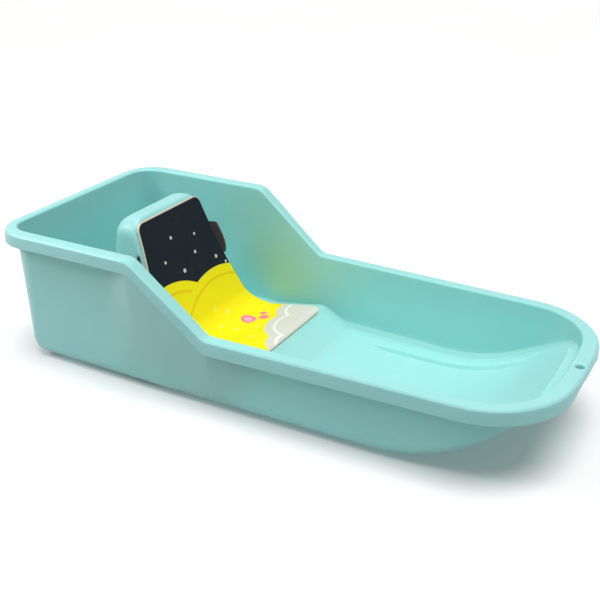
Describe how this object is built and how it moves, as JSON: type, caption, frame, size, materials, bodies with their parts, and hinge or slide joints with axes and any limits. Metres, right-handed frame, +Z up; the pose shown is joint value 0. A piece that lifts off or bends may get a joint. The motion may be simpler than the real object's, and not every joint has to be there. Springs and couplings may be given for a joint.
{
  "type": "baby pull sled",
  "caption": "Long moulded pull sled for a baby: high rear tub, low turned-up bow, raised padded seat, hollow backrest with a webbing belt and a rope hole in the front rim.",
  "frame": {"origin": "middle of the footprint, at the underside of the runner beads", "axes": "+X to the bow, +Y to the rider's left, +Z up"},
  "size_m": [0.846, 0.375, 0.221],
  "materials": {
    "hull_plastic": "satin polyethylene",
    "pad_foam": "closed-cell foam edge",
    "pad_print": "printed film",
    "webbing": "ribbed webbing",
    "buckle_plastic": "satin"
  },
  "bodies": {
    "sled": {"hull": "hull_plastic", "seat_pad_foam": "pad_foam", "seat_pad_cover": "pad_print", "belt_webbing": "webbing", "buckle_socket": "buckle_plastic", "buckle_plug": "buckle_plastic"},
    "upper_prong": {"buckle_prong_upper": "buckle_plastic"},
    "lower_prong": {"buckle_prong_lower": "buckle_plastic"},
    "keeper": {"belt_keeper": "buckle_plastic"}
  },
  "joints": [
    {"name": "upper_prong_squeeze", "type": "hinge", "parent": "sled", "child": "upper_prong", "pos_m": [-0.2819, 0, 0.1545], "axis": [-1, 0, 0], "range_deg": [0, 11], "stiffness_Nm_per_rad": 0.5},
    {"name": "lower_prong_squeeze", "type": "hinge", "parent": "sled", "child": "lower_prong", "pos_m": [-0.2819, 0, 0.1205], "axis": [1, 0, 0], "range_deg": [0, 11], "stiffness_Nm_per_rad": 0.5},
    {"name": "keeper_slide", "type": "slide", "parent": "sled", "child": "keeper", "axis": [0, 1, 0], "range_m": [-0.015, 0.009]}
  ]
}
